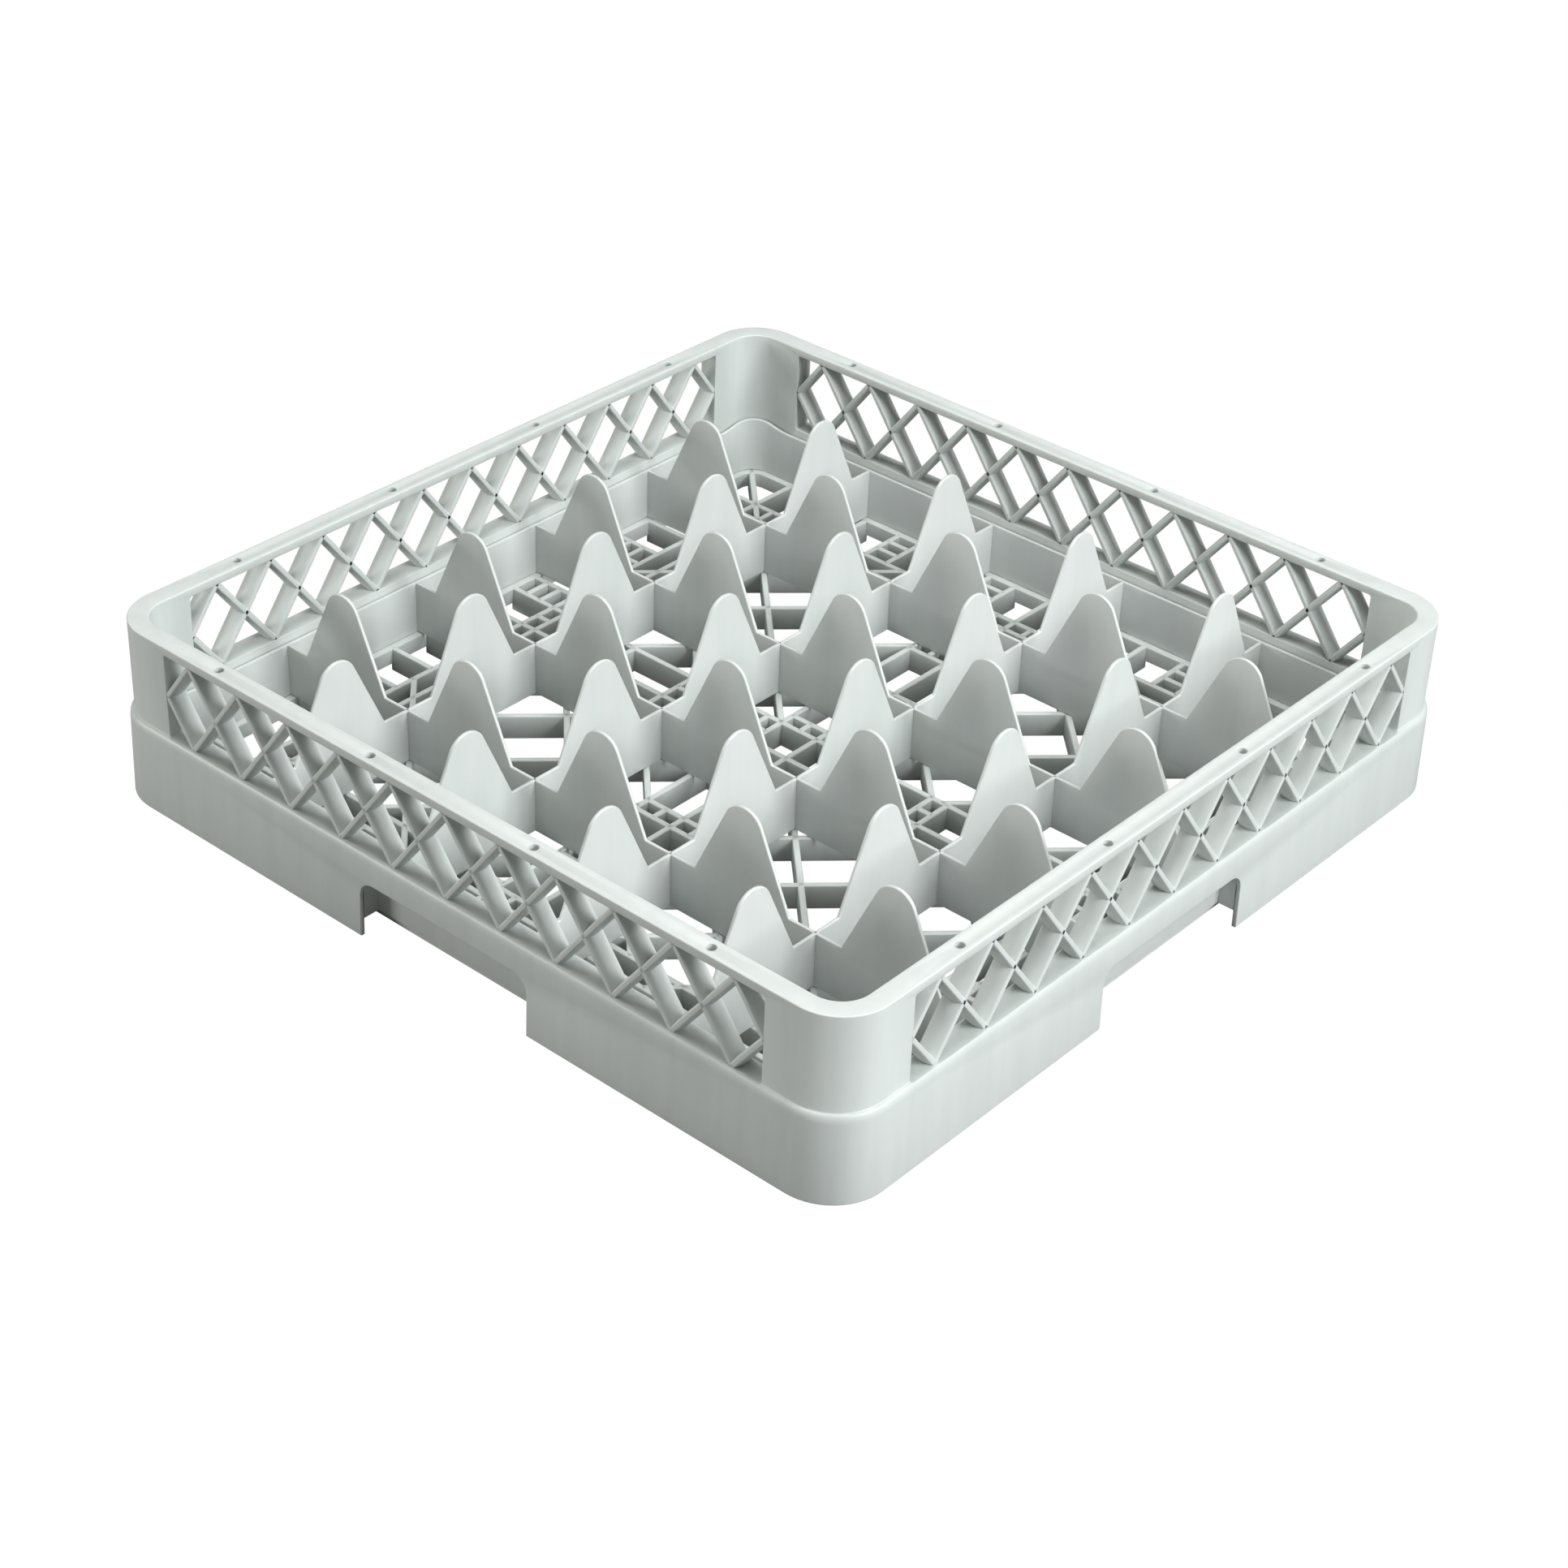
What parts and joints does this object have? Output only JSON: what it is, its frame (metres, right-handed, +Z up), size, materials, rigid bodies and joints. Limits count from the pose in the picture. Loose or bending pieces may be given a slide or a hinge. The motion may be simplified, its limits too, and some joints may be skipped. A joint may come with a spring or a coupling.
{
  "type": "dishwasher glass rack",
  "caption": "Square open-topped rack with lattice walls, hand-holds and a lift-out wavy divider that keeps upturned glasses apart in a dishwasher.",
  "frame": {"origin": "centre of the base, on the table", "axes": "+Z up, front wall at -Y, right wall at +X; the four walls are alike"},
  "size_m": [0.5, 0.5, 0.103],
  "materials": {
    "rack_plastic": "satin light grey polypropylene, fine moulded grain",
    "insert_plastic": "satin light grey polypropylene"
  },
  "bodies": {
    "rack": {"rim": "rack_plastic", "lattice_front": "rack_plastic", "lattice_right": "rack_plastic", "lattice_back": "rack_plastic", "lattice_left": "rack_plastic", "corner_post_front_right": "rack_plastic", "corner_post_back_right": "rack_plastic", "corner_post_back_left": "rack_plastic", "corner_post_front_left": "rack_plastic", "skirt_front": "rack_plastic", "skirt_right": "rack_plastic", "skirt_back": "rack_plastic", "skirt_left": "rack_plastic", "skirt_corner_front_right": "rack_plastic", "skirt_corner_back_right": "rack_plastic", "skirt_corner_back_left": "rack_plastic", "skirt_corner_front_left": "rack_plastic", "floor_grid": "rack_plastic"},
    "insert": {"band_front": "insert_plastic", "band_right": "insert_plastic", "band_back": "insert_plastic", "band_left": "insert_plastic", "band_corner_front_right": "insert_plastic", "band_corner_back_right": "insert_plastic", "band_corner_back_left": "insert_plastic", "band_corner_front_left": "insert_plastic", "divider_across_1": "insert_plastic", "divider_across_2": "insert_plastic", "divider_across_3": "insert_plastic", "divider_across_4": "insert_plastic", "divider_along_1": "insert_plastic", "divider_along_2": "insert_plastic", "divider_along_3": "insert_plastic", "divider_along_4": "insert_plastic"}
  },
  "joints": [
    {"name": "insert_lift", "type": "slide", "parent": "rack", "child": "insert", "axis": [0, 0, 1], "range_m": [0, 0.11]}
  ]
}
